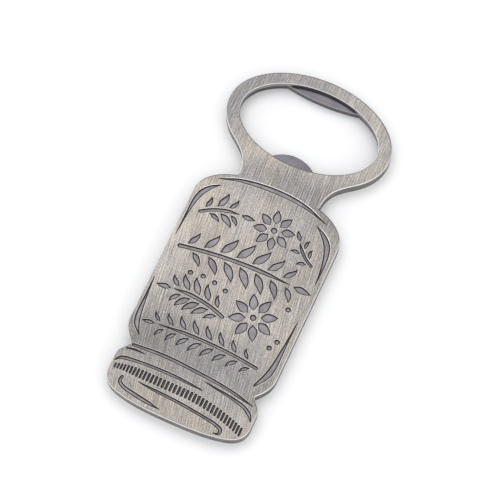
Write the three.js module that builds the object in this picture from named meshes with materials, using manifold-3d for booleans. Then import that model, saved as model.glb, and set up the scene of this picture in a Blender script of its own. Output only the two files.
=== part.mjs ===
// Souvenir bottle opener in the shape of a screw-top jar, in millimetres, +Z up.
// It lies on its back with its engraved face up. The lid points to -Y and the oval cap ring to +Y.
// The origin is the middle of the back face's box, so the back is the plane z = 0.
//
// The pieces are a zinc casting (jar, neck and ring), a stamped steel insert that sits in a pocket
// in the casting's back and carries the two edges that grip a cap, and four blind drive rivets.

import * as THREE from 'three';
import { mergeVertices } from 'three/addons/utils/BufferGeometryUtils.js';
import Module from 'manifold-3d';

const wasm = await Module();
wasm.setup();

// ---- driving dimensions -------------------------------------------------------------------
const LENGTH = 100.5;
const THICKNESS = 3.8;
const END = LENGTH / 2;

const RING = { halfWidth: 22.8, halfHeight: 14.6 };
RING.y = END - RING.halfHeight;
const OPENING = { halfWidth: 19.15, halfHeight: 11.2, y: RING.y + 0.2 };
const NECK_MEETS_RING_X = 17.5;

const SKIN = 1.4;                  // casting left in front of the insert
const RING_WALL = 0.8;             // casting left outside the insert, round the ring
const PLAY = 0.15;                 // gap round the insert
const POCKET_TOP = THICKNESS - SKIN;
const INSERT_BACK = 0.1;           // the insert sits this far in from the back face
const INSERT_FRONT = POCKET_TOP - 0.05;
const FOOT = { halfWidth: 8.6, low: 17.2, high: RING.y - 8, corner: 2 };

const LIP_RADIUS = 56;
const LIP_EDGE_Y = 44.5;
const TAB_RADIUS = 9;
const TAB_TIP_Y = 27.8;

const RIVET = { shank: 0.6, head: 0.95, headHeight: 0.5, headBack: 0.2, top: 3.2, play: 0.1 };
const RIVET_PLACES = {
  rivet_neck_left: [-5.5, 21.4],
  rivet_neck_right: [5.5, 21.4],
  rivet_far_left: [-5, 47.55],
  rivet_far_right: [5, 47.55],
};

const RIVET_SIDES = 12;
const CUTTER_REACH = 1;            // a cutter runs this far past the face that it opens

const ENGRAVING_DEPTH = 0.3;
// The knurled bars stand at even steps of angle round a lid of this radius, seen from its front.
const KNURL = { count: 37, radius: 26.65, first: -0.81, step: 0.041, middle: 1.13, y: -42.3 };
const KNURL_BAR = { width: 0.66, length: 2.45 };
const KNURL_DROOP = { right: 0.011, left: 0.02, leftFrom: 13 };
const KNURL_FADE = { from: 12, over: 6.2 };    // towards the left end each bar is up to 1 mm shorter

// A leaf is widest at one share of its length and still partly wide at a later one. It curls to one
// side, and stands off its stem by a small gap. Leaves at the ends of a sprig are smaller.
const LEAF = { widest: 0.35, later: 0.7, laterWidth: 0.75, curl: 0.35, gap: 0.45 };
const SPRIG = { tipGap: 0.5, tipScale: 0.8, endShrink: 0.3 };
const BERRY_SIZE = 1.3;
const FLOWER_EYE = 1.6;

// ---- outline of the jar, neck and ring, right half, from the bottom of the lid up ---------------
function ellipsePoint(oval, angle) {
  return [oval.halfWidth * Math.cos(angle), oval.y + oval.halfHeight * Math.sin(angle)];
}

function bezier(points, steps) {
  const corners = points.map(([x, y]) => new THREE.Vector2(x, y));
  return new THREE.CubicBezierCurve(...corners).getPoints(steps).map((p) => [p.x, p.y]);
}

function rightHalf() {
  const ringAngle = -Math.acos(NECK_MEETS_RING_X / RING.halfWidth);
  const neckTop = ellipsePoint(RING, ringAngle);
  const points = [
    ...bezier([[0, -END], [7, -END], [11, -49.9], [14.5, -49.05]], 5),
    ...bezier([[14.5, -49.05], [17.5, -48.4], [19.6, -46.9], [19.6, -43.9]], 6),
    ...bezier([[19.6, -40.3], [19.6, -38], [17.3, -37.5], [17.3, -35.8]], 6),
    ...bezier([[17.3, -35.8], [18.3, -34.7], [20.4, -32.7], [20.4, -29.6]], 6),
    ...bezier([[20.4, 8.1], [20.4, 12.2], [16.6, 15.3], [11.4, 16.5]], 8),
    ...bezier([[11.4, 16.5], [11.45, 22.1], [14.33, 23.8], neckTop], 8),
  ];
  const arcSteps = 22;
  for (let i = 1; i <= arcSteps; i += 1) {
    points.push(ellipsePoint(RING, ringAngle + (Math.PI / 2 - ringAngle) * i / arcSteps));
  }
  return points;
}

function wholeOutline() {
  const right = rightHalf();
  const left = right.slice(1, -1).reverse().map(([x, y]) => [-x, y]);
  const all = [...right, ...left];
  return all.filter(([x, y], i) => {
    const [nx, ny] = all[(i + 1) % all.length];
    return Math.hypot(nx - x, ny - y) > 0.01;
  });
}

function oval(halfWidth, halfHeight, y, steps = 72) {
  const points = [];
  for (let i = 0; i < steps; i += 1) {
    points.push(ellipsePoint({ halfWidth, halfHeight, y }, Math.PI * 2 * i / steps));
  }
  return points;
}

function circle(radius, x, y, steps) {
  return oval(radius, radius, y, steps).map(([px, py]) => [px + x, py]);
}

// ---- solids -------------------------------------------------------------------------------
function toManifold(geometry) {
  geometry.deleteAttribute('normal');
  geometry.deleteAttribute('uv');
  const merged = mergeVertices(geometry, 1e-5);
  const vertProperties = new Float32Array(merged.attributes.position.array);
  const triVerts = new Uint32Array(merged.index.array);
  return new wasm.Manifold(new wasm.Mesh({ numProp: 3, vertProperties, triVerts }));
}

function toGeometry(manifold) {
  const mesh = manifold.getMesh();
  const geometry = new THREE.BufferGeometry();
  geometry.setAttribute('position', new THREE.BufferAttribute(mesh.vertProperties, 3));
  geometry.setIndex(new THREE.BufferAttribute(mesh.triVerts, 1));
  geometry.computeVertexNormals();
  return geometry;
}

function plate(points, bottom, top) {
  const shape = new THREE.Shape(points.map(([x, y]) => new THREE.Vector2(x, y)));
  const geometry = new THREE.ExtrudeGeometry(shape, { depth: top - bottom, bevelEnabled: false });
  geometry.translate(0, 0, bottom);
  return toManifold(geometry);
}

// ---- engraved strokes -----------------------------------------------------------------------
// A stroke is a curve through points [x, y, width]. An end of zero width is a point, and any other
// end is round.
function strokeOutline(points, steps) {
  const curve = new THREE.CatmullRomCurve3(
    points.map(([x, y, w]) => new THREE.Vector3(x, y, w)), false, 'centripetal');
  const samples = curve.getPoints(steps * (points.length - 1));
  const stations = samples.map((p, i) => {
    const before = samples[Math.max(i - 1, 0)];
    const after = samples[Math.min(i + 1, samples.length - 1)];
    const along = new THREE.Vector2(after.x - before.x, after.y - before.y).normalize();
    return { x: p.x, y: p.y, half: Math.max(p.z / 2, 0), along };
  });
  const ends = [roundEnd(stations[0], -1).reverse(), roundEnd(stations.at(-1), 1)];
  const run = [...ends[0], ...stations.slice(1, -1), ...ends[1]];
  const left = run.map((s) => [s.x - s.along.y * s.half, s.y + s.along.x * s.half]);
  const right = run.slice(1, -1).map((s) => [s.x + s.along.y * s.half, s.y - s.along.x * s.half]);
  return [...left, ...right.reverse()];
}

function roundEnd(station, sense) {
  const { x, y, half, along } = station;
  if (half < 0.02) return [{ x, y, half: 0, along }];
  return [[0, 1], [Math.SQRT1_2, Math.SQRT1_2], [1, 0]].map(([forward, sideways]) => {
    const reach = sense * half * forward;
    return { x: x + along.x * reach, y: y + along.y * reach, half: half * sideways, along };
  });
}

function engrave(body, outline) {
  return body.subtract(plate(outline, THICKNESS - ENGRAVING_DEPTH, THICKNESS + CUTTER_REACH));
}

// Highlights drawn along the glass: one crescent under the lip of the jar and one at each corner.
const GLASS_LINES = [
  [[-15.8, 13.5, 0], [-10, 15.4, 1], [0, 16.35, 1.4], [8, 15.6, 1.1], [15.3, 13.3, 0]],
  [[-14.2, 12.2, 0], [-16.2, 10.7, 1], [-17.8, 8.6, 1.5], [-18.6, 6.2, 1.3], [-19, 2, 0.7],
    [-19.3, -5.1, 0]],
  [[12.8, 12.1, 0], [15.2, 10.5, 1.1], [17.2, 8.4, 1.6], [18.3, 5.6, 1.4],
    [18.8, 1.8, 0.8], [19, -3.1, 0]],
  [[-19.3, -17.1, 0], [-19, -23, 0.7], [-18.6, -28.5, 1.4], [-18, -30.6, 1.4], [-16.1, -33.3, 0]],
  [[19, -13.1, 0], [18.7, -20, 0.7], [18.3, -27, 1.5], [17.8, -29.5, 1.6], [15.9, -33.3, 0.6]],
];

// Lines that draw the lid as a turned band.
const LID_LINES = [
  [[-16.3, -36.1, 0.8], [-8, -35.6, 1], [0, -35.95, 0.95], [9, -36.75, 0.85],
    [14.5, -37.7, 0.7], [18.1, -38.55, 0]],
  [[-17.4, -37.55, 0.4], [-15.4, -37.15, 0.6], [-12.4, -37.2, 0]],
  [[4, -37.5, 0], [7, -37.9, 0.5], [12, -38.6, 0.8], [16, -39.6, 1], [18.1, -41.05, 0.9],
    [18.95, -42.5, 0]],
  [[-19.05, -41.75, 0], [-17.8, -40.45, 0.9], [-13, -39.65, 0.9], [-4, -39.35, 0.85],
    [2, -39.65, 0.6], [5, -39.9, 0]],
  [[-11.3, -44.4, 0], [-7, -44.7, 0.7], [0, -45.1, 0.85], [8, -45.95, 0.85], [11.2, -46.5, 0.95],
    [12.9, -47.3, 1], [12.9, -48.3, 0.8], [11.4, -48.8, 0]],
  [[-15.3, -44.8, 0.8], [-15.4, -46, 0.9], [-14.1, -47, 1], [-10, -47.85, 1.1],
    [-6, -48.4, 0.9], [-3, -48.8, 0]],
];

function knurlBars() {
  const bars = [];
  for (let i = 0; i < KNURL.count; i += 1) {
    const angle = KNURL.first + i * KNURL.step;
    const x = KNURL.middle + KNURL.radius * Math.sin(angle);
    const droop = KNURL_DROOP.right * Math.max(0, x) ** 2
      + KNURL_DROOP.left * Math.max(0, -x - KNURL_DROOP.leftFrom) ** 2;
    const y = KNURL.y - droop;
    const shorter = THREE.MathUtils.clamp((-x - KNURL_FADE.from) / KNURL_FADE.over, 0, 1);
    const w = KNURL_BAR.width * Math.cos(angle) / 2;
    const h = (KNURL_BAR.length - shorter) / 2;
    bars.push([[x - w, y - h], [x + w, y - h], [x + w, y + h], [x - w, y + h]]);
  }
  return bars;
}

// ---- leaf and flower ornament on the glass ------------------------------------------------------
function leaf(x, y, angle, length, width, curl) {
  const along = (t, side) => [
    x + length * t * Math.cos(angle) - side * Math.sin(angle),
    y + length * t * Math.sin(angle) + side * Math.cos(angle),
  ];
  return [
    [...along(0, 0), 0],
    [...along(LEAF.widest, curl * 0.8), width],
    [...along(LEAF.later, curl), width * LEAF.laterWidth],
    [...along(1, 0), 0],
  ];
}

function berries(places, size) {
  const reach = 0.05;
  return places.map(([x, y]) => [[x - reach, y, size], [x + reach, y, size]]);
}

function flower(x, y, petals, inner, outer, width, turn) {
  const strokes = berries([[x, y]], FLOWER_EYE);
  for (let i = 0; i < petals; i += 1) {
    const angle = turn + Math.PI * 2 * i / petals;
    const start = [x + inner * Math.cos(angle), y + inner * Math.sin(angle)];
    strokes.push(leaf(...start, angle, outer - inner, width, 0));
  }
  return strokes;
}

// A stem that bows between two ends, with leaves on both sides and one at its tip.
function sprig({ from, to, bow, pairs, first, last, length, width, lean, stem }) {
  const [x0, y0] = from;
  const [x1, y1] = to;
  const run = Math.hypot(x1 - x0, y1 - y0);
  const ux = (x1 - x0) / run;
  const uy = (y1 - y0) / run;
  const spine = (t) => {
    const rise = 4 * bow * t * (1 - t);
    return [x0 + (x1 - x0) * t - uy * rise, y0 + (y1 - y0) * t + ux * rise];
  };
  const heading = (t) => Math.atan2(uy, ux) + Math.atan2(4 * bow * (1 - 2 * t), run);
  const strokes = [[0, 0.25, 0.5, 0.75, 1].map((t) => [...spine(t), t === 1 ? 0 : stem])];
  for (let i = 0; i < pairs; i += 1) {
    const t = first + (last - first) * i / (pairs - 1);
    const size = 1 - SPRIG.endShrink * (2 * i / (pairs - 1) - 1) ** 2;
    for (const side of [1, -1]) {
      const shifted = t + (side < 0 ? 0.5 * (last - first) / pairs : 0);
      const [sx, sy] = spine(shifted);
      const turn = heading(shifted);
      const gap = side * (stem / 2 + LEAF.gap);
      const foot = [sx - gap * Math.sin(turn), sy + gap * Math.cos(turn)];
      strokes.push(leaf(...foot, turn + side * lean, length * size, width * size, -side * LEAF.curl));
    }
  }
  const turn = heading(1);
  const tip = [x1 + SPRIG.tipGap * Math.cos(turn), y1 + SPRIG.tipGap * Math.sin(turn)];
  strokes.push(leaf(...tip, turn, length * SPRIG.tipScale, width * SPRIG.tipScale, 0));
  return strokes;
}

function ornament() {
  return [
    ...sprig({
      from: [-16.2, 3.4], to: [-6.4, 6.7], bow: 0.8, pairs: 3, first: 0.14, last: 0.7,
      length: 4.8, width: 1.7, lean: 0.9, stem: 0.9,
    }),
    ...flower(3.4, 6.4, 8, 1.8, 5.6, 2.2, 0.2),
    ...sprig({
      from: [16, 1.4], to: [10.9, 6], bow: 0.5, pairs: 2, first: 0.16, last: 0.62,
      length: 3.6, width: 1.4, lean: 0.9, stem: 0.8,
    }),
    ...sprig({
      from: [-17, -7.2], to: [13.6, -5.4], bow: 1, pairs: 7, first: 0.06, last: 0.9,
      length: 6.2, width: 2.2, lean: 0.95, stem: 1.1,
    }),
    ...berries([[-11.4, -12.7], [-8, -12.3], [-4.6, -12.7], [-1.2, -13.6]], BERRY_SIZE),
    ...flower(8.2, -17.2, 8, 1.9, 6.4, 2.4, 0.39),
    ...sprig({
      from: [1, -20.2], to: [-13.6, -18.4], bow: -0.9, pairs: 5, first: 0.08, last: 0.84,
      length: 5, width: 1.8, lean: 0.9, stem: 1,
    }),
    ...berries([[15.2, -22.8], [16.4, -20.6], [15.4, -11.6]], BERRY_SIZE),
    ...sprig({
      from: [14.4, -29], to: [-13.4, -28.7], bow: -0.9, pairs: 8, first: 0.05, last: 0.92,
      length: 4.2, width: 1.4, lean: 0.9, stem: 0.9,
    }),
  ];
}

// ---- pieces ---------------------------------------------------------------------------------
function rivetHoles(body, radius, bottom, top) {
  let cut = body;
  for (const [x, y] of Object.values(RIVET_PLACES)) {
    cut = cut.subtract(plate(circle(radius, x, y, RIVET_SIDES), bottom, top));
  }
  return cut;
}

function seatOutline(inset) {
  const halfWidth = RING.halfWidth - RING_WALL - inset;
  const halfHeight = RING.halfHeight - RING_WALL - inset;
  return oval(halfWidth, halfHeight, RING.y);
}

function footOutline(inset) {
  const radius = FOOT.corner - inset;
  const corner = (x, from) => [0, 0.25, 0.5, 0.75, 1].map((part) => {
    const angle = from + part * Math.PI / 2;
    return [x + radius * Math.cos(angle), FOOT.low + FOOT.corner + radius * Math.sin(angle)];
  });
  const reach = FOOT.halfWidth - FOOT.corner;
  const side = FOOT.halfWidth - inset;
  return [
    ...corner(-reach, Math.PI), ...corner(reach, Math.PI * 1.5), [side, FOOT.high], [-side, FOOT.high],
  ];
}

// The opening of the ring, or of the insert when it is grown by a gap.
function mouth(gap, low, high) {
  return plate(oval(OPENING.halfWidth + gap, OPENING.halfHeight + gap, OPENING.y), low, high);
}

function castBody() {
  const below = -CUTTER_REACH;
  let body = plate(wholeOutline(), 0, THICKNESS);
  body = body.subtract(mouth(0, below, THICKNESS + CUTTER_REACH));
  const pocket = plate(seatOutline(0), below, POCKET_TOP).add(plate(footOutline(0), below, POCKET_TOP));
  body = body.subtract(pocket);
  body = rivetHoles(body, RIVET.shank + RIVET.play, below, RIVET.top + RIVET.play);
  for (const stroke of [...GLASS_LINES, ...LID_LINES]) body = engrave(body, strokeOutline(stroke, 3));
  for (const stroke of ornament()) body = engrave(body, strokeOutline(stroke, 2));
  for (const bar of knurlBars()) body = engrave(body, bar);
  return body;
}

// The opening's oval, less a shallow arc at the far side that hooks a cap and a round tab at the near.
function capMouth(low, high) {
  const lip = plate(circle(LIP_RADIUS, 0, LIP_EDGE_Y + LIP_RADIUS, 360), low, high);
  const tab = plate(circle(TAB_RADIUS, 0, TAB_TIP_Y - TAB_RADIUS, 60), low, high);
  return mouth(PLAY, low, high).subtract(lip).subtract(tab);
}

function openerInsert() {
  const below = -CUTTER_REACH;
  const above = INSERT_FRONT + CUTTER_REACH;
  const headSocket = RIVET.headBack + RIVET.headHeight + RIVET.play;
  const seat = plate(seatOutline(PLAY), INSERT_BACK, INSERT_FRONT);
  const foot = plate(footOutline(PLAY), INSERT_BACK, INSERT_FRONT);
  let insert = seat.add(foot).subtract(capMouth(below, above));
  insert = rivetHoles(insert, RIVET.shank + RIVET.play, below, above);
  return rivetHoles(insert, RIVET.head + RIVET.play, below, headSocket);
}

// A low domed head below a straight shank, turned about Z.
function rivetGeometry() {
  const { head, shank, headBack, headHeight, top } = RIVET;
  const headFront = headBack + headHeight;
  const profile = [
    [0, headBack], [head * 0.7, headBack + headHeight * 0.1], [head, headBack + headHeight * 0.4],
    [head, headFront], [shank, headFront], [shank, top], [0, top],
  ];
  const geometry = new THREE.LatheGeometry(profile.map(([r, z]) => new THREE.Vector2(r, z)), RIVET_SIDES);
  geometry.rotateX(Math.PI / 2);
  return geometry;
}

// ---- scene graph ------------------------------------------------------------------------------
const antiqueZinc = { color: 0xa8a194, roughness: 0.42, metalness: 1 };
const plainSteel = { color: 0x8d8791, roughness: 0.38, metalness: 1 };
const rivetSteel = { color: 0x9a979c, roughness: 0.35, metalness: 1 };

function addPiece(group, name, geometry, finish, place = [0, 0]) {
  const mesh = new THREE.Mesh(geometry, new THREE.MeshStandardMaterial(finish));
  mesh.name = name;
  mesh.position.set(place[0], place[1], 0);
  group.add(mesh);
}

const opener = new THREE.Group();
addPiece(opener, 'cast_body', toGeometry(castBody()), antiqueZinc);
addPiece(opener, 'opener_insert', toGeometry(openerInsert()), plainSteel);
for (const [name, place] of Object.entries(RIVET_PLACES)) {
  addPiece(opener, name, rivetGeometry(), rivetSteel, place);
}

export default opener;
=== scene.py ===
import math

import bmesh
import bpy
from mathutils import Matrix, Vector
from mathutils.geometry import delaunay_2d_cdt


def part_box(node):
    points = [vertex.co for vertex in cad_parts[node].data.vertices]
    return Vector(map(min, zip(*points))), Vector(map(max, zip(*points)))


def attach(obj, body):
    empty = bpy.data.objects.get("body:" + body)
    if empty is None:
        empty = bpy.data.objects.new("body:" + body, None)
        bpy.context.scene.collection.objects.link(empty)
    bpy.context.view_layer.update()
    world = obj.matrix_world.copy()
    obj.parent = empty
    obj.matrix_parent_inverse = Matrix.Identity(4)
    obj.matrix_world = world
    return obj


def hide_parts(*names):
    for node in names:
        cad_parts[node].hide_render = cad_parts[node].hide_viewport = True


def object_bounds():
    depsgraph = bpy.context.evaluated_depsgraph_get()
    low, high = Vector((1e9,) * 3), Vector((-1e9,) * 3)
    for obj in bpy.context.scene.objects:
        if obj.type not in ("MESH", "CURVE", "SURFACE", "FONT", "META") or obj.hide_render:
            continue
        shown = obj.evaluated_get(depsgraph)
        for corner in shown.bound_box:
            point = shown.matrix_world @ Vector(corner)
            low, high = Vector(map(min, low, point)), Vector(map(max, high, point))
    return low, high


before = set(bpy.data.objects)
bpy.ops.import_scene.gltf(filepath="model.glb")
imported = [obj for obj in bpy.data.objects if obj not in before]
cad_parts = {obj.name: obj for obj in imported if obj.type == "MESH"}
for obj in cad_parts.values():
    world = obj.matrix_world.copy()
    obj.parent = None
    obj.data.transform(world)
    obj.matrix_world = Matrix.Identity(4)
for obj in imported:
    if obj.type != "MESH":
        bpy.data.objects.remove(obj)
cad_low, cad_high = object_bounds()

# Souvenir bottle opener, jar shaped: a brushed zinc casting with an engraved front, a steel insert in its
# back and four rivets. Shapes are worked out in millimetres and stored in metres.
MM = 0.001

# ---- driving sizes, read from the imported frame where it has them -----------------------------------
END = cad_high.y / MM
THICKNESS = cad_high.z / MM
RING_HALF_WIDTH = cad_high.x / MM
RING_HALF_HEIGHT = 14.6
RING_Y = END - RING_HALF_HEIGHT
OPENING = (19.15, 11.2, RING_Y + 0.2)       # half width, half height and middle
OPENING_STEPS = 200
NECK_MEETS_RING_X = 17.5

INSERT_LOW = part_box("opener_insert")[0].z / MM
INSERT_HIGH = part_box("opener_insert")[1].z / MM
POCKET_TOP = INSERT_HIGH + 0.05
RING_WALL = 0.8             # casting left outside the insert, round the ring
PLAY = 0.15                 # gap round the insert
FOOT_HALF_WIDTH = 8.6       # the insert's foot lies in the neck
FOOT_LOW = 17.2
FOOT_CORNER = 2.0
LIP_RADIUS = 56.0
LIP_EDGE_Y = 44.5
TAB_RADIUS = 9.0
TAB_TIP_Y = 27.8

RIVET_NODES = ("rivet_neck_left", "rivet_neck_right", "rivet_far_left", "rivet_far_right")
RIVET_HEAD = 0.95
RIVET_SHANK = 0.6
RIVET_HEAD_HEIGHT = 0.5
RIVET_PLAY = 0.1
RIVET_DOME_HEIGHT = 0.3
# the dome from its middle to its rim, in shares of its radius and height
RIVET_DOME = ((0.07, 0), (0.32, 0.04), (0.57, 0.14), (0.78, 0.32), (0.92, 0.6), (1, 1))
RIVET_CORNER = 0.03         # broken corner behind the head
RIVET_TIP_TAPER = 0.1       # how much thinner the shank's tip is
RIVET_TIP_LENGTH = 0.15

FRONT_ROUND = 0.28          # radius of the casting's outer edges
MOUTH_ROUND = 0.22          # radius of the edge round the ring's opening
PLATE_ROUND = 0.16          # radius of the insert's edges
SEAT_ROUND = 0.1            # broken edge of the pocket
SEAM_SHADOW = 0.12            # height of the painted shadow line where the opening's wall meets the insert
SEAM_LIGHT = 0.4            # painted light: how bright that wall is just above the line
SHARP_ANGLE = 38            # degrees from which an edge isn't shaded smooth

# ---- engraving -------------------------------------------------------------------------------------
ENGRAVING_DEPTH = 0.3
WALL_RUN = 0.12             # how far the engraving's walls lean in
WALL_TOP = 0.05             # how far outside the engraved line the worn top of its wall is
WALL_STEPS = ((0.05, 0.06), (0.3, 0.35), (0.7, 0.85), (1, 1))       # shares of the lean and of the depth
CREST_DEPTH = 0.04          # share of the depth at the very top of the wall
THINNEST = 0.012            # half width that is left at a line's pointed end
THIN_SPREAD = 0.2           # by what share it is wider at the top of the wall
SHALLOWEST = 0.08           # share of the depth that is left there
DEPTH_CURVE = 0.8           # a line narrower than its walls is less deep, by this power of its width
WASH = 0.13                 # width of the black wash that stays along the foot of the walls
FLOOR_STEPS = ((WASH, 0.65, 0.9), (WASH * 2, 0.35, 0.1))    # way in, least share of the width, black wash
NARROW_WASH = 0.85          # how much black wash fills a narrow line's floor
NARROW = (0.3, 0.5)         # half widths between which a line stops being narrow
RIM = 0.12                  # reach of the light rim outside each engraved line, rubbed and with a painted highlight
GLASS_RIM = 0.2             # the same outside the glass lines
RIM_START = 0.85            # share of that reach at which the rim starts to be light
RIM_DROP = 0.004            # how far the rim is worn down there
RIM_LEAST = 0.35            # how much of its painted highlight the rim keeps on the sides that don't face the lid's end
RIM_FADE = (0.05, 0.35)     # half widths over which a line's rim gets its painted highlight, so its points stay dark

# steps between two given points of a line
LINE_STEPS = 10
ORNAMENT_STEPS = 7
BAR_STEPS = 2
END_TURNS = (0, 22.5, 45, 67.5, 90)         # degrees at which a line's round end has points

# An edge that faces the lid's end has a share of 1, and one that faces the ring's end has -1. Edges get a
# painted highlight and painted shade by this share, brighter towards the lid's end and darker towards the
# ring's end. Each mark grows from none at its first share to full at its second.
HIGHLIGHT_FACING = (-0.7, 0.1)      # painted highlight on worn edges
LIGHT_RIM = (0.1, 0.8)      # painted highlight on the rims round the engraving
SHADE_FACING = (0.3, 0.9)      # painted shade, by how far the edge faces the ring's end instead

# The knurled bars stand at even steps of angle round a lid of this radius, seen from its front.
KNURL_COUNT = 37
KNURL_RADIUS = 26.65
KNURL_FIRST = -0.81
KNURL_STEP = 0.041
KNURL_MIDDLE = 1.13
KNURL_Y = -42.3
KNURL_WIDTH = 0.66
KNURL_LENGTH = 2.45
KNURL_RIGHT_DROOP = 0.011
KNURL_LEFT_DROOP = 0.02
KNURL_LEFT_FROM = 13
KNURL_FADE_FROM = 12        # from here to the left end each bar is up to 1 mm shorter
KNURL_FADE_OVER = 6.2

# A leaf is widest at one share of its length and still partly wide at a later one. It curls to one
# side, and stands off its stem by a small gap. Leaves at the ends of a sprig are smaller.
LEAF_WIDEST = 0.35
LEAF_WIDEST_CURL = 0.8      # share of the whole curl that it has there
LEAF_LATER = 0.7
LEAF_LATER_WIDTH = 0.75
LEAF_CURL = 0.35
LEAF_GAP = 0.45
END_LEAF_SHRINK = 0.3
TIP_LEAF_GAP = 0.5
TIP_LEAF_SCALE = 0.8
BERRY_SIZE = 1.3
BERRY_REACH = 0.05          # a berry is a round dot, made as a line of twice this length
FLOWER_EYE = 1.6

# ---- finish ----------------------------------------------------------------------------------------
SCRATCH_PITCH = 0.66        # distance between the deeper belt marks
SCRATCH_WANDER = 3          # how many pitches they stray sideways
SCRATCH_TONE = 0.24         # how much they change the tone
BELT_LEAN = 0.12            # how far the belt marks lean sideways for each millimetre of length
BELT_BEND = 0.0012          # and how much that changes over the length
# painted bands across the opener where it reflects less light: middle, reach and strength
DARK_REFLECTION_BANDS = ((18.0, 7.5, 0.27), (-31.5, 12.5, 0.26), (40, 22, 0.15))

# Each surface is coloured by a tone from 0 to 1. Between the tones given here its colours blend.
FACE_TONES = ((0.0, (0.13, 0.127, 0.132)), (0.46, (0.271, 0.2575, 0.2585)),
              (0.62, (0.34, 0.311, 0.288)), (1.0, (0.51, 0.462, 0.402)))
FLOOR_TONES = ((0.35, (0.20, 0.182, 0.192)), (0.65, (0.285, 0.264, 0.276)))
WALL_TONES = ((0.3, (0.012, 0.01, 0.01)), (0.7, (0.03, 0.026, 0.025)))
SIDE_TONES = ((0.35, (0.155, 0.151, 0.147)), (0.62, (0.24, 0.234, 0.222)))
STEEL_TONES = ((0.35, (0.094, 0.087, 0.100)), (0.65, (0.124, 0.115, 0.130)))
RIVET_TONES = ((0.3, (0.30, 0.295, 0.30)), (0.7, (0.42, 0.41, 0.41)))

# colours of worn edges with painted highlights, of black wash, and of painted shade, a tint for the face,
# and the floor's paper
BRIGHT_ZINC = (0.93, 0.91, 0.88)
BRIGHT_STEEL = (0.55, 0.54, 0.57)
GOLDEN_TINT = (1.0, 0.974, 0.915)
FACE_DIRT = (0.03, 0.026, 0.026)
FLOOR_DIRT = (0.02, 0.018, 0.019)
SIDE_SHADE = (0.03, 0.028, 0.028)
STEEL_SHADE = (0.03, 0.028, 0.032)
PAPER_WHITE = (0.93, 0.93, 0.93)

# Material slots of the casting's mesh
FACE, FLOOR, CUT, SIDE = range(4)

# ---- studio, in metres and watts -------------------------------------------------------------------
CAMERA_AZIMUTH, CAMERA_ELEVATION, CAMERA_ROLL = 25.535, 70.425, -1.084
CAMERA_DISTANCE = 0.5718
CAMERA_TARGET = (-0.00007, -0.00097, cad_high.z)
CAMERA_LENS, CAMERA_SENSOR = 160.96, 36
FLOOR_HALF = 3.0
DAYLIGHT = (0.98, 0.985, 1.0)
DAYLIGHT_STRENGTH = 0.95
# name, place, size and power of each lamp
LAMPS = (
    ("overhead", (-0.25, 0.35, 0.9), (0.9, 0.7), 2.6),
    ("side", (0.9, -0.5, 0.5), (0.6, 0.6), 1.2),
)


# ---- curves --------------------------------------------------------------------------------------
def bezier(a, b, c, d, steps):
    points = []
    for i in range(steps):
        t = i / steps
        k = ((1 - t) ** 3, 3 * t * (1 - t) ** 2, 3 * t * t * (1 - t), t ** 3)
        points.append(tuple(k[0] * a[j] + k[1] * b[j] + k[2] * c[j] + k[3] * d[j] for j in (0, 1)))
    return points


def straight(a, b, steps):
    return [(a[0] + (b[0] - a[0]) * i / steps, a[1] + (b[1] - a[1]) * i / steps) for i in range(steps)]


def oval_point(half_width, half_height, y, angle):
    return half_width * math.cos(angle), y + half_height * math.sin(angle)


def oval(half_width, half_height, y, steps):
    return [oval_point(half_width, half_height, y, 2 * math.pi * i / steps) for i in range(steps)]


def jar_outline():
    """The whole outline of lid, jar, neck and ring, anticlockwise from the middle of the lid's end."""
    ring_angle = -math.acos(NECK_MEETS_RING_X / RING_HALF_WIDTH)
    neck_top = oval_point(RING_HALF_WIDTH, RING_HALF_HEIGHT, RING_Y, ring_angle)
    lid_corner, lid_low, lid_high = (14.5, -49.05), (19.6, -43.9), (19.6, -40.3)
    waist, jar_low, jar_high = (17.3, -35.8), (20.4, -29.6), (20.4, 8.1)
    neck_foot = (11.4, 16.5)
    right = bezier((0, -END), (7, -END), (11, -49.9), lid_corner, 12)
    right += bezier(lid_corner, (17.5, -48.4), (19.6, -46.9), lid_low, 16)
    right += straight(lid_low, lid_high, 3)
    right += bezier(lid_high, (19.6, -38), (17.3, -37.5), waist, 14)
    right += bezier(waist, (18.3, -34.7), (20.4, -32.7), jar_low, 14)
    right += straight(jar_low, jar_high, 16)
    right += bezier(jar_high, (20.4, 12.2), (16.6, 15.3), neck_foot, 20)
    right += bezier(neck_foot, (11.45, 22.1), (14.33, 23.8), neck_top, 20)
    arc_steps = 60
    for i in range(arc_steps + 1):
        angle = ring_angle + (math.pi / 2 - ring_angle) * i / arc_steps
        right.append(oval_point(RING_HALF_WIDTH, RING_HALF_HEIGHT, RING_Y, angle))
    return right + [(-x, y) for x, y in reversed(right[1:-1])]


def inset(points, distance):
    """A closed anticlockwise outline moved inwards, or a clockwise one outwards, with mitred corners."""
    sharpest = 0.5
    moved = []
    count = len(points)
    for i, here in enumerate(points):
        before, after = Vector(points[i - 1]), Vector(points[(i + 1) % count])
        a = (Vector(here) - before).normalized()
        b = (after - Vector(here)).normalized()
        along = (a + b).normalized()
        normal = Vector((-along.y, along.x))
        stretch = 1 / max(abs(normal.dot(Vector((-a.y, a.x)))), sharpest)
        moved.append(tuple(Vector(here) + normal * distance * stretch))
    return moved


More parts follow.
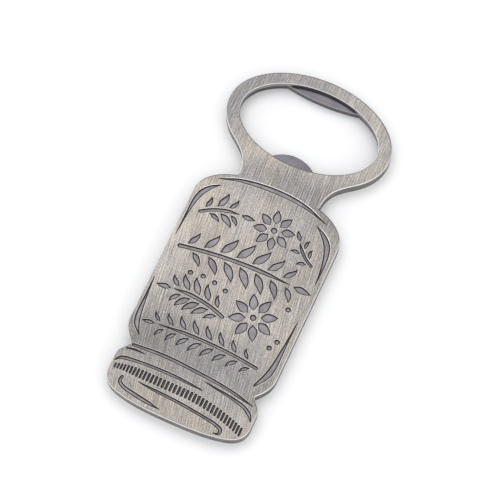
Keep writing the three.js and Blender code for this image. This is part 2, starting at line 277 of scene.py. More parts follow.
def pocket_outline(gap):
    """Outline of the pocket for the insert (gap 0) or of the insert itself, anticlockwise."""
    oval_steps, side_steps, corner_steps = 160, 5, 8
    a = RING_HALF_WIDTH - RING_WALL - gap
    b = RING_HALF_HEIGHT - RING_WALL - gap
    side = FOOT_HALF_WIDTH - gap
    meet = math.acos(side / a)
    points = []
    for i in range(oval_steps + 1):
        angle = -meet + (math.pi + 2 * meet) * i / oval_steps
        points.append(oval_point(a, b, RING_Y, angle))
    radius = FOOT_CORNER - gap
    reach = FOOT_HALF_WIDTH - FOOT_CORNER
    corner_y = FOOT_LOW + FOOT_CORNER
    points += straight(points[-1], (-side, corner_y), side_steps)[1:]
    for x, start in ((-reach, math.pi), (reach, 1.5 * math.pi)):
        for i in range(corner_steps + 1):
            angle = start + i / corner_steps * math.pi / 2
            points.append((x + radius * math.cos(angle), corner_y + radius * math.sin(angle)))
    points += straight((side, corner_y), points[0], side_steps)[1:]
    return points


def crossing(a, b, y, centre_y, radius, low, high):
    """Angle between low and high at which the oval crosses a circle centred on the middle line."""
    halvings = 50

    def outside(angle):
        px, py = oval_point(a, b, y, angle)
        return math.hypot(px, py - centre_y) > radius

    start = outside(low)
    for _ in range(halvings):
        middle = (low + high) / 2
        if outside(middle) == start:
            low = middle
        else:
            high = middle
    return (low + high) / 2


def insert_mouth():
    """The insert's inner edge: the oval opening with the far lip and the near tab, anticlockwise."""
    side_steps, lip_steps, tab_steps = 60, 40, 28
    a, b, y = OPENING[0] + PLAY, OPENING[1] + PLAY, OPENING[2]
    lip_centre, tab_centre = LIP_EDGE_Y + LIP_RADIUS, TAB_TIP_Y - TAB_RADIUS
    lip = crossing(a, b, y, lip_centre, LIP_RADIUS, 0.0, math.pi / 2)
    tab = crossing(a, b, y, tab_centre, TAB_RADIUS, -math.pi / 2, 0.0)
    right = [oval_point(a, b, y, tab + (lip - tab) * i / side_steps) for i in range(side_steps + 1)]
    lip_arc, tab_arc = [], []
    reach = math.asin(right[-1][0] / LIP_RADIUS)
    for i in range(1, lip_steps):
        turn = reach * (1 - 2 * i / lip_steps)
        lip_arc.append((LIP_RADIUS * math.sin(turn), lip_centre - LIP_RADIUS * math.cos(turn)))
    reach = math.asin(right[0][0] / TAB_RADIUS)
    for i in range(1, tab_steps):
        turn = -reach * (1 - 2 * i / tab_steps)
        tab_arc.append((TAB_RADIUS * math.sin(turn), tab_centre + TAB_RADIUS * math.cos(turn)))
    return right + lip_arc + [(-px, py) for px, py in reversed(right)] + tab_arc


def ease(value, low, high):
    """Rises smoothly from 0 at low to 1 at high."""
    t = min(max((value - low) / (high - low), 0), 1)
    return t * t * (3 - 2 * t)


def facing(outline):
    """How much each point's edge faces the lid's end (1) or the ring's end (-1)."""
    no_length = 1e-9
    shares = []
    for i in range(len(outline)):
        along = Vector(outline[(i + 1) % len(outline)]) - Vector(outline[i - 1])
        shares.append(along.x / max(along.length, no_length))
    return shares


def highlight_and_wear(outline, amount):
    """How bright each point of an edge is: worn, with a painted highlight that fades where it faces the
    ring's end.
    """
    return [amount * ease(share, *HIGHLIGHT_FACING) for share in facing(outline)]


def painted_shade(outline, amount):
    """How much painted shade each point of an edge gets."""
    return [amount * ease(-share, *SHADE_FACING) for share in facing(outline)]


# ---- a mesh made of loops, walls between them and flat caps ----------------------------------------
def place_in_scene(thing):
    bpy.context.scene.collection.objects.link(thing)


def each(value, outline):
    """One value for each point of an outline, from such a list or from a single number."""
    return value if isinstance(value, list) else [value] * len(outline)


class Shell:
    """Points and faces of one piece. Each point has two marks: a bright edge, which is wear with a painted
    highlight, and black wash, which in places is painted shade.
    """

    def __init__(self):
        self.points, self.faces, self.slots = [], [], []
        self.edge, self.dirt = [], []

    def loop(self, outline, height, edge=0.0, dirt=0.0):
        """Adds one closed ring of points. Height and marks are one number or one for each point."""
        start = len(self.points)
        height, edge, dirt = (each(value, outline) for value in (height, edge, dirt))
        self.points += [(x, y, z) for (x, y), z in zip(outline, height)]
        self.edge += edge
        self.dirt += dirt
        return list(range(start, len(self.points)))

    def wall(self, a, b, slot):
        """Joins two rings of as many points with four-sided faces."""
        for i in range(len(a)):
            j = (i + 1) % len(a)
            self.faces.append((a[i], a[j], b[j], b[i]))
            self.slots.append(slot)

    def cap(self, outer, holes, slot):
        """Fills the flat area inside outer and outside every hole with triangles."""
        rings = [outer] + holes
        order = [i for ring in rings for i in ring]
        flat = [Vector(self.points[i][:2]) for i in order]
        edges, start = [], 0
        for ring in rings:
            n = len(ring)
            edges += [(start + i, start + (i + 1) % n) for i in range(n)]
            start += n
        closest = 1e-7
        points, _, triangles, sources, _, _ = delaunay_2d_cdt(flat, edges, [], 0, closest)
        back = [order[source[0]] if source else None for source in sources]
        home = {}
        for number, ring in enumerate(rings):
            home.update({i: number for i in ring})
        for triangle in triangles:
            ids = [back[i] for i in triangle]
            centre = sum((points[i] for i in triangle), Vector((0, 0))) / 3
            owners = {home[i] for i in ids}
            if any(self.holds(rings[n], centre) for n in owners if n > 0):
                continue
            if not self.holds(outer, centre):
                continue
            self.faces.append(tuple(ids))
            self.slots.append(slot)

    def holds(self, ring, spot):
        """Whether a spot is inside a ring, seen from above."""
        inside = False
        for i in range(len(ring)):
            x0, y0, _ = self.points[ring[i - 1]]
            x1, y1, _ = self.points[ring[i]]
            if (y0 > spot.y) != (y1 > spot.y):
                if spot.x < x0 + (spot.y - y0) / (y1 - y0) * (x1 - x0):
                    inside = not inside
        return inside

    def disc(self, ring, slot):
        """Closes a ring with one face."""
        self.faces.append(tuple(ring))
        self.slots.append(slot)

    def make(self, name, materials):
        mesh = bpy.data.meshes.new(name)
        mesh.from_pydata([(x * MM, y * MM, z * MM) for x, y, z in self.points], [], self.faces)
        for material in materials:
            mesh.materials.append(material)
        mesh.polygons.foreach_set("material_index", self.slots)
        for label, values in (("edge", self.edge), ("dirt", self.dirt)):
            mesh.attributes.new(label, "FLOAT", "POINT").data.foreach_set("value", values)
        face_outwards(mesh)
        mesh.shade_smooth()
        mesh.set_sharp_from_angle(angle=math.radians(SHARP_ANGLE))
        piece = bpy.data.objects.new(name, mesh)
        place_in_scene(piece)
        weighted = piece.modifiers.new("even_normals", "WEIGHTED_NORMAL")
        weighted.keep_sharp = True
        return piece


def face_outwards(mesh):
    """Turns every face outwards, and stops if the mesh isn't closed."""
    work = bmesh.new()
    work.from_mesh(mesh)
    bmesh.ops.recalc_face_normals(work, faces=work.faces)
    open_edges = [e for e in work.edges if len(e.link_faces) != 2]
    if open_edges:
        raise RuntimeError(f"{mesh.name} has {len(open_edges)} open edges")
    work.to_mesh(mesh)
    work.free()


def rounded(shell, outline, height, radius, up, slot, steps=4):
    """Rings that roll from a flat face over its edge, marked most in the middle of the roll with a painted
    highlight and painted shade.

    up is 1 for a face that looks up and -1 for one that looks down. Returns the ring on the face and the
    one on the wall.
    """
    spread = 0.7
    rings = []
    for i in range(steps + 1):
        angle = math.pi / 2 * i / steps
        drop = radius * (1 - math.cos(angle))
        shift = radius * (1 - math.sin(angle))
        amount = math.sin(2 * angle) ** spread if 0 < i < steps else 0.0
        # Worn edges get a painted highlight and painted shade, by which way each edge faces
        marks = {"edge": highlight_and_wear(outline, amount), "dirt": painted_shade(outline, amount)}
        rings.append(shell.loop(inset(outline, shift), height - up * drop, **marks))
    for a, b in zip(rings, rings[1:]):
        shell.wall(a, b, slot)
    return rings[0], rings[-1]


# ---- engraved lines --------------------------------------------------------------------------------
# A line is a list of points (x, y, width). An end of zero width is a point, and any other end is round.
GLASS_LINES = [
    [(-15.8, 13.5, 0), (-10, 15.4, 1), (0, 16.35, 1.4), (8, 15.6, 1.1), (15.3, 13.3, 0)],
    [(-14.2, 12.2, 0), (-16.2, 10.7, 1), (-17.8, 8.6, 1.5), (-18.6, 6.2, 1.3),
     (-19, 2, 0.7), (-19.3, -5.1, 0)],
    [(12.8, 12.1, 0), (15.2, 10.5, 1.1), (17.2, 8.4, 1.6), (18.3, 5.6, 1.4),
     (18.8, 1.8, 0.8), (19, -3.1, 0)],
    [(-19.3, -17.1, 0), (-19, -23, 0.7), (-18.6, -28.5, 1.4), (-18, -30.6, 1.4), (-16.1, -33.3, 0)],
    [(19, -13.1, 0), (18.7, -20, 0.7), (18.3, -27, 1.5), (17.8, -29.5, 1.6), (15.9, -33.3, 0.6)],
]

LID_LINES = [
    [(-16.3, -36.1, 0.8), (-8, -35.6, 1), (0, -35.95, 0.95), (9, -36.75, 0.85),
     (14.5, -37.7, 0.7), (18.1, -38.55, 0)],
    [(-17.4, -37.55, 0.4), (-15.4, -37.15, 0.6), (-12.4, -37.2, 0)],
    [(4, -37.5, 0), (7, -37.9, 0.5), (12, -38.6, 0.8), (16, -39.6, 1), (18.1, -41.05, 0.9),
     (18.95, -42.5, 0)],
    [(-19.05, -41.75, 0), (-17.8, -40.45, 0.9), (-13, -39.65, 0.9), (-4, -39.35, 0.85),
     (2, -39.65, 0.6), (5, -39.9, 0)],
    [(-11.3, -44.4, 0), (-7, -44.7, 0.7), (0, -45.1, 0.85), (8, -45.95, 0.85), (11.2, -46.5, 0.95),
     (12.9, -47.3, 1), (12.9, -48.3, 0.8), (11.4, -48.8, 0)],
    [(-15.3, -44.8, 0.8), (-15.4, -46, 0.9), (-14.1, -47, 1), (-10, -47.85, 1.1),
     (-6, -48.4, 0.9), (-3, -48.8, 0)],
]


def smooth_run(points, steps):
    """A smooth curve through the points, the centripetal Catmull-Rom one, sampled in even steps."""
    same_spot = 1e-4
    points = [Vector(p) for p in points]
    padded = [points[0] * 2 - points[1]] + points + [points[-1] * 2 - points[-2]]
    run = []
    for i in range(len(points) - 1):
        p0, p1, p2, p3 = padded[i:i + 4]
        k0, k1, k2 = ((b - a).length ** 0.5 or same_spot for a, b in ((p0, p1), (p1, p2), (p2, p3)))
        m1 = (p1 - p0) / k0 - (p2 - p0) / (k0 + k1) + (p2 - p1) / k1
        m2 = (p2 - p1) / k1 - (p3 - p1) / (k1 + k2) + (p3 - p2) / k2
        m1, m2 = m1 * k1, m2 * k1
        for step in range(steps):
            t = step / steps
            a, b = 2 * t ** 3 - 3 * t * t + 1, t ** 3 - 2 * t * t + t
            c, d = -2 * t ** 3 + 3 * t * t, t ** 3 - t * t
            run.append(p1 * a + m1 * b + p2 * c + m2 * d)
    return run + [points[-1]]


def stations(line, steps):
    """Places along a line: centre, direction, half width, and the turn of a rounded end."""
    run = smooth_run(line, steps)
    last = len(run) - 1
    made = []
    for i, spot in enumerate(run):
        ahead = run[min(i + 1, last)] - run[max(i - 1, 0)]
        along = Vector((ahead.x, ahead.y)).normalized()
        half = max(spot.z / 2, 0)
        end = -1 if i == 0 else 1 if i == last else 0
        turns = (0,) if end == 0 else END_TURNS
        if end and half < THINNEST:
            turns = END_TURNS[-1:]
        turned = [(spot.x, spot.y, along, half, end * math.radians(turn)) for turn in turns]
        made += reversed(turned) if end < 0 else turned
    return made


def line_ring(places, change):
    """A closed ring round the line, with each half width changed by change(half)."""
    no_width = 1e-6
    left, right = [], []
    for x, y, along, half, turn in places:
        reach = change(half)
        forward = reach * math.sin(turn)
        sideways = 0 if abs(math.cos(turn)) < no_width else reach * math.cos(turn)
        cx, cy = x + along.x * forward, y + along.y * forward
        left.append((cx - along.y * sideways, cy + along.x * sideways))
        right.append((cx + along.y * sideways, cy - along.x * sideways))
    return left + right[-2:0:-1]


def engrave(shell, line, steps, rim):
    """Sinks a line into the front face. Returns the ring that its edge leaves in the face."""
    places = stations(line, steps)
    halves = [place[3] for place in places]
    halves += halves[-2:0:-1]

    def run_of(half):
        return max(min(WALL_RUN, half - THINNEST), 0)

    def depth_of(half, share):
        width = max(min(half / WALL_RUN, 1), SHALLOWEST)
        return THICKNESS - ENGRAVING_DEPTH * width ** DEPTH_CURVE * share

    def wall_ring(lean, share, **marks):
        """lean 0 is the top of the wall and 1 its foot."""
        thinnest = THINNEST * (1 + THIN_SPREAD * (1 - lean))

        def reach(half):
            return max(half + WALL_TOP - (run_of(half) + WALL_TOP) * lean, thinnest)
        return shell.loop(line_ring(places, reach), [depth_of(h, share) for h in halves], **marks)

    def floor_ring(inwards, keep, dirt):
        """A ring on the floor. It keeps at least a share of the floor's half width."""
        def reach(half):
            foot = max(half - run_of(half), THINNEST)
            return max(foot - inwards, foot * keep)
        soaked = [max(dirt, NARROW_WASH * (1 - ease(half, *NARROW))) for half in halves]
        return shell.loop(line_ring(places, reach), [depth_of(h, 1) for h in halves], dirt=soaked)

    # The rim's painted highlight, strongest where the rim faces the lid's end and weaker on thin lines
    def lightness(share, half):
        return max(ease(share, *LIGHT_RIM), RIM_LEAST) * ease(half, *RIM_FADE)

    outer = shell.loop(line_ring(places, lambda h: h + rim), THICKNESS)
    worn = line_ring(places, lambda h: h + rim * RIM_START)
    light = [lightness(share, half) for share, half in zip(facing(worn), halves)]
    bright = shell.loop(worn, THICKNESS - RIM_DROP, edge=light)
    crest = wall_ring(0, CREST_DEPTH, edge=light)
    walls = [wall_ring(lean, share, dirt=1.0) for lean, share in WALL_STEPS]
    floors = walls[-1:] + [floor_ring(*step) for step in FLOOR_STEPS]
    for slot, rings in ((FACE, [outer, bright, crest, walls[0]]), (CUT, walls), (FLOOR, floors)):
        for a, b in zip(rings, rings[1:]):
            shell.wall(a, b, slot)
    floor(shell, floors[-1])
    return outer


def floor(shell, ring):
    """Fills a line's floor with faces that run across it."""
    count = len(ring)
    half = count // 2
    for i in range(half):
        a, b = ring[i], ring[i + 1]
        c, d = ring[(count - i - 1) % count], ring[(count - i) % count]
        corners = []
        for corner in (a, b, c, d):
            if corner not in corners:
                corners.append(corner)
        if len(corners) > 2:
            shell.faces.append(tuple(corners))
            shell.slots.append(FLOOR)


def knurl_lines():
    """The band of short upright bars round the lid."""
    lines = []
    for i in range(KNURL_COUNT):
        angle = KNURL_FIRST + i * KNURL_STEP
        x = KNURL_MIDDLE + KNURL_RADIUS * math.sin(angle)
        droop = KNURL_RIGHT_DROOP * max(0, x) ** 2 + KNURL_LEFT_DROOP * max(0, -x - KNURL_LEFT_FROM) ** 2
        shorter = min(max((-x - KNURL_FADE_FROM) / KNURL_FADE_OVER, 0), 1)
        width = KNURL_WIDTH * math.cos(angle)
        reach = (KNURL_LENGTH - shorter - width) / 2
        lines.append([(x, KNURL_Y - droop + end * reach, width) for end in (-1, 1)])
    return lines


def leaf(x, y, angle, length, width, curl):
    """A leaf or petal that points away from its foot."""
    def at(t, side):
        return (x + length * t * math.cos(angle) - side * math.sin(angle),
                y + length * t * math.sin(angle) + side * math.cos(angle))
    return [(*at(0, 0), 0), (*at(LEAF_WIDEST, curl * LEAF_WIDEST_CURL), width),
            (*at(LEAF_LATER, curl), width * LEAF_LATER_WIDTH), (*at(1, 0), 0)]


def berries(places, size=BERRY_SIZE):
    return [[(x - BERRY_REACH, y, size), (x + BERRY_REACH, y, size)] for x, y in places]


def flower(x, y, petals, inner, outer, width, turn):
    """Petals round an eye."""
    lines = berries([(x, y)], FLOWER_EYE)
    for i in range(petals):
        angle = turn + 2 * math.pi * i / petals
        start = (x + inner * math.cos(angle), y + inner * math.sin(angle))
        lines.append(leaf(*start, angle, outer - inner, width, 0))
    return lines


def sprig(start, end, bow, pairs, first, last, length, width, lean, stem):
    """A stem that bows between two ends, with leaves on both sides and one at its tip."""
    start, end = Vector(start), Vector(end)
    run = (end - start).length
    u = (end - start) / run

    def spine(t):
        rise = 4 * bow * t * (1 - t)
        return (start.x + (end.x - start.x) * t - u.y * rise,
                start.y + (end.y - start.y) * t + u.x * rise)

    def heading(t):
        return math.atan2(u.y, u.x) + math.atan2(4 * bow * (1 - 2 * t), run)

    lines = [[(*spine(t), 0 if t == 1 else stem) for t in (0, 0.25, 0.5, 0.75, 1)]]
    for i in range(pairs):
        t = first + (last - first) * i / (pairs - 1)
        size = 1 - END_LEAF_SHRINK * (2 * i / (pairs - 1) - 1) ** 2
        for side in (1, -1):
            place = t if side > 0 else t + 0.5 * (last - first) / pairs
            sx, sy = spine(place)
            turn = heading(place)
            gap = side * (stem / 2 + LEAF_GAP)
            lines.append(leaf(sx - gap * math.sin(turn), sy + gap * math.cos(turn), turn + side * lean,
                              length * size, width * size, side * -LEAF_CURL))
    turn = heading(1)
    tip = (end.x + TIP_LEAF_GAP * math.cos(turn), end.y + TIP_LEAF_GAP * math.sin(turn))
    lines.append(leaf(*tip, turn, length * TIP_LEAF_SCALE, width * TIP_LEAF_SCALE, 0))
    return lines


def ornament():
    """Rows of leaf sprigs, flowers and berries on the glass."""
    lines = sprig((-16.2, 3.4), (-6.4, 6.7), bow=0.8, pairs=3, first=0.14, last=0.7,
                  length=4.8, width=1.7, lean=0.9, stem=0.9)
    lines += flower(3.4, 6.4, petals=8, inner=1.8, outer=5.6, width=2.2, turn=0.2)
    lines += sprig((16, 1.4), (10.9, 6), bow=0.5, pairs=2, first=0.16, last=0.62,
                   length=3.6, width=1.4, lean=0.9, stem=0.8)
    lines += sprig((-17, -7.2), (13.6, -5.4), bow=1, pairs=7, first=0.06, last=0.9,
                   length=6.2, width=2.2, lean=0.95, stem=1.1)
    lines += berries([(-11.4, -12.7), (-8, -12.3), (-4.6, -12.7), (-1.2, -13.6)])
    lines += flower(8.2, -17.2, petals=8, inner=1.9, outer=6.4, width=2.4, turn=0.39)
    lines += sprig((1, -20.2), (-13.6, -18.4), bow=-0.9, pairs=5, first=0.08, last=0.84,
                   length=5, width=1.8, lean=0.9, stem=1)
    lines += berries([(15.2, -22.8), (16.4, -20.6), (15.4, -11.6)])
    lines += sprig((14.4, -29), (-13.4, -28.7), bow=-0.9, pairs=8, first=0.05, last=0.92,
                   length=4.2, width=1.4, lean=0.9, stem=0.9)
    return lines


# ---- pieces ---------------------------------------------------------------------------------------
def rivet_places():
    """The middle of each rivet, from its node's box."""
    places = []
    for node in RIVET_NODES:
        low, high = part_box(node)
        places.append(((low.x + high.x) / 2 / MM, (low.y + high.y) / 2 / MM))
    return places


def round_ring(shell, x, y, radius, height, steps=32):
    return shell.loop([(px + x, py) for px, py in oval(radius, radius, y, steps)], height)


def make_casting(materials):
    shell = Shell()
    outline = jar_outline()
    front, upper = rounded(shell, outline, THICKNESS, FRONT_ROUND, 1, SIDE)
    back, lower = rounded(shell, outline, 0, FRONT_ROUND, -1, SIDE)
    shell.wall(upper, lower, SIDE)
    mouth_front, mouth_back = opening_wall(shell)
    lines = [(line, LINE_STEPS, GLASS_RIM) for line in GLASS_LINES]
    lines += [(line, LINE_STEPS, RIM) for line in LID_LINES]
    lines += [(line, ORNAMENT_STEPS, RIM) for line in ornament()]
    lines += [(line, BAR_STEPS, RIM) for line in knurl_lines()]
    holes = [engrave(shell, *line) for line in lines]
    shell.cap(front, [mouth_front] + holes, FACE)
    cut_pocket(shell, back, mouth_back)
    return shell.make("casting", materials)


def opening_wall(shell):
    """The wall of the ring's opening, with a painted shadow line at the seam and painted light just above
    it. Returns its front and back rings.
    """
    mouth = oval(*OPENING, OPENING_STEPS)[::-1]
    front, upper = rounded(shell, mouth, THICKNESS, MOUTH_ROUND, 1, SIDE)
    # Painted light on the wall just above a painted shadow line at the seam with the insert
    lower = shell.loop(mouth, POCKET_TOP + SEAM_SHADOW, edge=SEAM_LIGHT)
    back = shell.loop(mouth, POCKET_TOP, dirt=1.0)
    shell.wall(upper, lower, SIDE)
    shell.wall(lower, back, SIDE)
    return front, back


def cut_pocket(shell, back, mouth_back):
    """The flat back and the insert's pocket in it, with the rivets' blind holes."""
    seat = pocket_outline(0)[::-1]
    seat_back, seat_low = rounded(shell, seat, 0, SEAT_ROUND, -1, SIDE, steps=2)
    seat_top = shell.loop(seat, POCKET_TOP)
    shell.wall(seat_low, seat_top, SIDE)
    shell.cap(back, [seat_back], FACE)
    shell.cap(seat_top, [mouth_back] + rivet_sockets(shell), SIDE)


def rivet_sockets(shell):
    """Blind holes for the rivets' shanks. Returns their rims."""
    rings = []
    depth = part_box(RIVET_NODES[0])[1].z / MM + RIVET_PLAY
    for x, y in rivet_places():
        rim = round_ring(shell, x, y, RIVET_SHANK + RIVET_PLAY, POCKET_TOP)
        end = round_ring(shell, x, y, RIVET_SHANK + RIVET_PLAY, depth)
        shell.wall(rim, end, SIDE)
        shell.disc(end, SIDE)
        rings.append(rim)
    return rings


def make_insert(materials):
    shell = Shell()
    outer, inner = pocket_outline(PLAY), insert_mouth()[::-1]
    front, upper = rounded(shell, outer, INSERT_HIGH, PLATE_ROUND, 1, 0)
    back, lower = rounded(shell, outer, INSERT_LOW, PLATE_ROUND, -1, 0)
    shell.wall(upper, lower, 0)
    mouth_front, mouth_upper = rounded(shell, inner, INSERT_HIGH, PLATE_ROUND, 1, 0)
    mouth_back, mouth_lower = rounded(shell, inner, INSERT_LOW, PLATE_ROUND, -1, 0)
    shell.wall(mouth_upper, mouth_lower, 0)
    holes = [counterbore(shell, x, y) for x, y in rivet_places()]
    shell.cap(front, [mouth_front] + [hole[-1] for hole in holes], 0)
    shell.cap(back, [mouth_back] + [hole[0] for hole in holes], 0)
    return shell.make("steel_insert", materials)


def counterbore(shell, x, y):
    """A rivet's stepped hole through the insert. Returns its rings from the back to the front."""
    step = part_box(RIVET_NODES[0])[0].z / MM + RIVET_HEAD_HEIGHT + RIVET_PLAY
    wide, narrow = RIVET_HEAD + RIVET_PLAY, RIVET_SHANK + RIVET_PLAY
    sizes = ((wide, INSERT_LOW), (wide, step), (narrow, step), (narrow, INSERT_HIGH))
    rings = [round_ring(shell, x, y, radius, height) for radius, height in sizes]
    for a, b in zip(rings, rings[1:]):
        shell.wall(a, b, 0)
    return rings


def make_rivet(node, place, materials):
    low, high = (corner.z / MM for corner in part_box(node))
    head_top = low + RIVET_HEAD_HEIGHT
    profile = [(RIVET_HEAD * r, low + RIVET_DOME_HEIGHT * z) for r, z in RIVET_DOME]
    profile += [(RIVET_HEAD, head_top - RIVET_CORNER), (RIVET_HEAD - RIVET_CORNER, head_top),
                (RIVET_SHANK, head_top), (RIVET_SHANK, high - RIVET_TIP_LENGTH),
                (RIVET_SHANK - RIVET_TIP_TAPER, high)]
    shell = Shell()
    rings = [round_ring(shell, *place, radius, height, steps=36) for radius, height in profile]
    for a, b in zip(rings, rings[1:]):
        shell.wall(a, b, 0)
    shell.disc(rings[0], 0)
    shell.disc(rings[-1], 0)
    return shell.make(node + "_pin", materials)


# ---- materials ------------------------------------------------------------------------------------
class Nodes:
    """Short ways to make and join shader nodes."""

    def __init__(self, name):
        self.material = bpy.data.materials.new(name)
        self.material.use_nodes = True
        self.tree = self.material.node_tree
        self.shader = self.tree.nodes["Principled BSDF"]

    def add(self, kind, **settings):
        node = self.tree.nodes.new(kind)
        for key, value in settings.items():
            setattr(node, key, value)
        return node

    def join(self, a, b):
        self.tree.links.new(a, b)

    def place(self, per_mm):
        """Object coordinates, scaled to a number of cells per millimetre."""
        where = self.add("ShaderNodeTexCoord")
        mapping = self.add("ShaderNodeMapping", vector_type="POINT")
        mapping.inputs["Scale"].default_value = [n / MM for n in per_mm]
        self.join(where.outputs["Object"], mapping.inputs["Vector"])
        return mapping.outputs["Vector"]

    def noise(self, per_mm, detail=2.0, roughness=0.5, place=None):
        """Noise with so many cells per millimetre along X, Y and Z, or at a place of its own."""
        node = self.add("ShaderNodeTexNoise")
        node.inputs["Scale"].default_value = 1.0
        node.inputs["Detail"].default_value = detail
        node.inputs["Roughness"].default_value = roughness
        self.join(place or self.place(per_mm), node.inputs["Vector"])
        return node.outputs["Fac"]

    def belt_place(self):
        """Places across and along the belt marks, which bend a little over the opener's length."""
        x, y = self.axis("X"), self.axis("Y")
        bend = self.maths("SUBTRACT", self.maths("MULTIPLY", y, BELT_BEND), BELT_LEAN)
        return self.maths("SUBTRACT", x, self.maths("MULTIPLY", y, bend)), y

    def belt(self, across, along):
        """Noise along the belt marks, with so many cells per millimetre each way."""
        x, y = self.belt_place()
        vector = self.add("ShaderNodeCombineXYZ")
        self.join(self.maths("MULTIPLY", x, across), vector.inputs["X"])
        self.join(self.maths("MULTIPLY", y, along), vector.inputs["Y"])
        return self.noise(None, place=vector.outputs["Vector"])

    def scratches(self):
        """Nearly even lines along the belt marks, about -1 to 1, which come and go."""
        x, _ = self.belt_place()
        stray = self.around(self.belt(0.45, 0.05), SCRATCH_WANDER)
        turns = self.maths("ADD", self.maths("DIVIDE", x, SCRATCH_PITCH), stray)
        lines = self.maths("SINE", self.maths("MULTIPLY", turns, 2 * math.pi))
        return self.maths("MULTIPLY", lines, self.spread(self.belt(1.1, 0.22), 0.3, 0.7))

    def around(self, value, amount):
        """A noise of mean 0.5, moved to swing round zero by an amount."""
        return self.maths("MULTIPLY", self.maths("SUBTRACT", value, 0.5), amount)

    def maths(self, operation, *values):
        node = self.add("ShaderNodeMath", operation=operation)
        for socket, value in zip(node.inputs, values):
            self.feed(socket, value)
        return node.outputs["Value"]

    def feed(self, socket, value):
        """Sets a socket to a number or colour, or joins another node's output to it."""
        if isinstance(value, (int, float)):
            socket.default_value = value
        elif isinstance(value, tuple):
            socket.default_value = (*value, 1)
        else:
            self.join(value, socket)

    def spread(self, value, low, high, to_low=0.0, to_high=1.0):
        """Goes smoothly from to_low to to_high as the value goes from low to high."""
        node = self.add("ShaderNodeMapRange", interpolation_type="SMOOTHSTEP")
        self.join(value, node.inputs["Value"])
        limits = {"From Min": low, "From Max": high, "To Min": to_low, "To Max": to_high}
        for key, number in limits.items():
            node.inputs[key].default_value = number
        return node.outputs["Result"]

    def mix(self, factor, a, b, blend="MIX"):
        node = self.add("ShaderNodeMix", data_type="RGBA", blend_type=blend)
        for key, value in (("Factor", factor), ("A", a), ("B", b)):
            self.feed(node.inputs[key], value)
        return node.outputs["Result"]

    def marked(self, mark, strength, colour, marked_colour):
        """The colour, turned towards another where the mesh has a mark."""
        return self.mix(self.maths("MULTIPLY", self.mark(mark), strength), colour, marked_colour)

    def ramp(self, value, stops):
        node = self.add("ShaderNodeValToRGB")
        elements = node.color_ramp.elements
        while len(elements) < len(stops):
            elements.new(0.5)
        for element, (position, colour) in zip(elements, stops):
            element.position = position
            element.color = (*colour, 1)
        self.join(value, node.inputs["Fac"])
        return node.outputs["Color"]

    def mark(self, name):
        return self.add("ShaderNodeAttribute", attribute_name=name).outputs["Fac"]

    def axis(self, name):
        split = self.add("ShaderNodeSeparateXYZ")
        self.join(self.place((1, 1, 1)), split.inputs["Vector"])
        return split.outputs[name]

    def bump(self, height, size_mm, strength=1.0):
        node = self.add("ShaderNodeBump")
        node.inputs["Distance"].default_value = size_mm * MM
        node.inputs["Strength"].default_value = strength
        self.join(height, node.inputs["Height"])
        self.join(node.outputs["Normal"], self.shader.inputs["Normal"])

    def finish(self, colour, roughness, metallic=1.0, **fixed):
        self.feed(self.shader.inputs["Base Color"], colour)
        self.feed(self.shader.inputs["Roughness"], roughness)
        self.shader.inputs["Metallic"].default_value = metallic
        for key, value in fixed.items():
            self.shader.inputs[key].default_value = value
        return self.material


def tone_with_painted_reflection(n):
    """Tone from about 0 to 1 over the whole face: patches where the belt took more or less of the dark
    plating off, with painted bands and a painted side-to-side gradient of reflected light.
    """
    x, y = n.axis("X"), n.axis("Y")
    tone = n.spread(n.noise((0.07, 0.045, 1), detail=2, roughness=0.6), 0.3, 0.7, 0.46, 0.6)
    # Painted darker bands of reflected light across the face
    for middle, reach, strength in DARK_REFLECTION_BANDS:
        away = n.maths("ABSOLUTE", n.maths("SUBTRACT", y, middle))
        tone = n.maths("SUBTRACT", tone, n.spread(away, 1, reach, strength, 0))
    # Painted gradient of reflected light, as tone for each millimetre to the right: more on the lower jar,
    # less above it, and more on the ring
    lean = n.maths("ADD", n.spread(y, -18, -2, 0.004, -0.006), n.spread(y, 20, 32, 0, 0.011))
    return n.maths("ADD", tone, n.maths("MULTIPLY", x, lean))


def warmth(n):
    """Slow drift between cool and golden plating, more golden at the lid's end and less on the ring."""
    y = n.axis("Y")
    drift = n.spread(n.noise((0.17, 0.05, 1), detail=1), 0.34, 0.66)
    golden = n.maths("ADD", drift, n.spread(y, -49, -43, 0.6, 0))
    return n.maths("MULTIPLY", golden, n.spread(y, 22, 40, 1, 0.4))


def brushed_face():
    """Antique plating rubbed back with a belt along the opener's length."""
    n = Nodes("brushed_face")
    wide, middle, fine = n.belt(0.55, 0.03), n.belt(2.4, 0.1), n.belt(6, 0.25)
    grit = n.noise((7, 7, 7), detail=3)
    tone = tone_with_painted_reflection(n)
    for noise, amount in ((wide, 0.35), (middle, 0.06), (fine, 0.8), (grit, 2.2)):
        tone = n.maths("ADD", tone, n.around(noise, amount))
    tone = n.maths("ADD", tone, n.maths("MULTIPLY", n.scratches(), SCRATCH_TONE))
    colour = n.ramp(tone, FACE_TONES)
    colour = n.mix(warmth(n), colour, GOLDEN_TINT, blend="MULTIPLY")
    # Worn edges and engraving rims, with painted highlights
    colour = n.marked("edge", 0.95, colour, BRIGHT_ZINC)
    colour = n.marked("dirt", 0.9, colour, FACE_DIRT)
    n.bump(n.maths("ADD", fine, middle), 0.010, 0.5)
    return n.finish(colour, n.spread(middle, 0.3, 0.7, 0.5, 0.36))


def engraved_floor():
    """Unpolished antique plating at the bottom of the engraving."""
    n = Nodes("engraved_floor")
    patches = n.noise((0.5, 0.5, 1), detail=3)
    colour = n.ramp(patches, FLOOR_TONES)
    colour = n.marked("dirt", 0.95, colour, FLOOR_DIRT)
    n.bump(n.noise((7, 7, 7), detail=3), 0.01, 0.4)
    return n.finish(colour, 0.46)


def cut_wall():
    """Walls of the engraving, where the black wash stays."""
    n = Nodes("cut_wall")
    colour = n.ramp(n.noise((1.5, 1.5, 1.5)), WALL_TONES)
    return n.finish(colour, 0.6, metallic=0.3, **{"Specular IOR Level": 0.2})


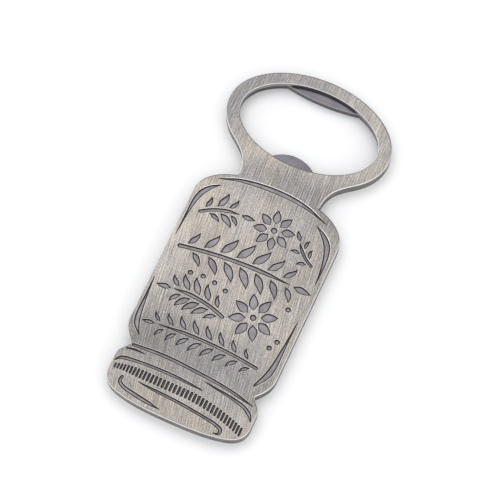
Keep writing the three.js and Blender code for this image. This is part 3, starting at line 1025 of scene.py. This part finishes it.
def cast_side():
    """Tumbled edges and side walls of the casting, not brushed."""
    n = Nodes("cast_side")
    patches = n.noise((0.35, 0.35, 0.8), detail=4, roughness=0.6)
    colour = n.ramp(patches, SIDE_TONES)
    # Worn edges with painted highlights, and painted light on the opening's wall above the seam
    colour = n.marked("edge", 0.9, colour, BRIGHT_ZINC)
    # Painted shade on edges that face the ring's end, and the painted shadow line at the seam
    colour = n.marked("dirt", 0.9, colour, SIDE_SHADE)
    n.bump(n.noise((5, 5, 5), detail=4, roughness=0.6), 0.02, 0.4)
    return n.finish(colour, n.spread(patches, 0.35, 0.65, 0.48, 0.38))


def plain_steel():
    """Stamped steel, smooth and slightly blue-grey, with rubbed edges that carry a painted highlight and
    painted shade.
    """
    n = Nodes("plain_steel")
    patches = n.noise((0.25, 0.25, 0.25), detail=3)
    grain = n.noise((6, 6, 6), detail=3)
    colour = n.ramp(patches, STEEL_TONES)
    # Worn edges with painted highlights
    colour = n.marked("edge", 0.85, colour, BRIGHT_STEEL)
    # Painted shade on edges that face the ring's end
    colour = n.marked("dirt", 0.8, colour, STEEL_SHADE)
    n.bump(grain, 0.006, 0.4)
    return n.finish(colour, n.spread(grain, 0.3, 0.7, 0.17, 0.25))


def rivet_steel():
    """Plain steel of the rivets, with a fine even grain."""
    n = Nodes("rivet_steel")
    grain = n.noise((3, 3, 3), detail=3)
    colour = n.ramp(grain, RIVET_TONES)
    n.bump(grain, 0.01, 0.4)
    return n.finish(colour, n.spread(grain, 0.3, 0.7, 0.28, 0.42))


# ---- studio ---------------------------------------------------------------------------------------
def make_floor():
    corners = [(x * FLOOR_HALF, y * FLOOR_HALF, 0) for x, y in ((-1, -1), (1, -1), (1, 1), (-1, 1))]
    mesh = bpy.data.meshes.new("studio_floor")
    mesh.from_pydata(corners, [], [(0, 1, 2, 3)])
    mesh.materials.append(Nodes("floor_paper").finish(PAPER_WHITE, 0.85, metallic=0.0))
    ground = bpy.data.objects.new("studio_floor", mesh)
    ground.location.z = cad_low.z
    place_in_scene(ground)


def soft_light(name, place, size, power):
    """A rectangular lamp that faces the middle of the engraved front."""
    lamp = bpy.data.lights.new(name, "AREA")
    lamp.shape = "RECTANGLE"
    lamp.size, lamp.size_y = size
    lamp.energy = power
    light = bpy.data.objects.new(name, lamp)
    light.location = place
    away = Vector(place) - Vector((0, 0, cad_high.z))
    light.rotation_euler = away.to_track_quat("Z", "Y").to_euler()
    place_in_scene(light)


def make_world():
    world = bpy.data.worlds.new("studio")
    world.use_nodes = True
    background = world.node_tree.nodes["Background"]
    background.inputs["Color"].default_value = (*DAYLIGHT, 1)
    background.inputs["Strength"].default_value = DAYLIGHT_STRENGTH
    bpy.context.scene.world = world


def make_camera():
    """The camera looks down at the front face from beyond the lid, a little to the right."""
    azimuth, elevation, roll = map(math.radians, (CAMERA_AZIMUTH, CAMERA_ELEVATION, CAMERA_ROLL))
    back = Vector((math.sin(azimuth) * math.cos(elevation), -math.cos(azimuth) * math.cos(elevation),
                   math.sin(elevation)))
    flat = Vector((math.cos(azimuth), math.sin(azimuth), 0))
    rise = back.cross(flat)
    right = flat * math.cos(roll) + rise * math.sin(roll)
    up = rise * math.cos(roll) - flat * math.sin(roll)
    data = bpy.data.cameras.new("camera")
    data.sensor_width = CAMERA_SENSOR
    data.lens = CAMERA_LENS
    data.clip_start, data.clip_end = 0.05, 10
    camera = bpy.data.objects.new("camera", data)
    camera.matrix_world = Matrix((right, up, back)).transposed().to_4x4()
    camera.location = Vector(CAMERA_TARGET) + back * CAMERA_DISTANCE
    place_in_scene(camera)
    bpy.context.scene.camera = camera


def stands_for(piece, node):
    """Fixes a piece to the opener in place of a plain node."""
    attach(piece, "root")
    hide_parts(node)


make_camera()
make_world()
make_floor()
for lamp_settings in LAMPS:
    soft_light(*lamp_settings)
bpy.context.scene.view_settings.view_transform = "Standard"

casting = make_casting([brushed_face(), engraved_floor(), cut_wall(), cast_side()])
stands_for(casting, "cast_body")
stands_for(make_insert([plain_steel()]), "opener_insert")
rivet_finish = rivet_steel()
for node, place in zip(RIVET_NODES, rivet_places()):
    stands_for(make_rivet(node, place, [rivet_finish]), node)
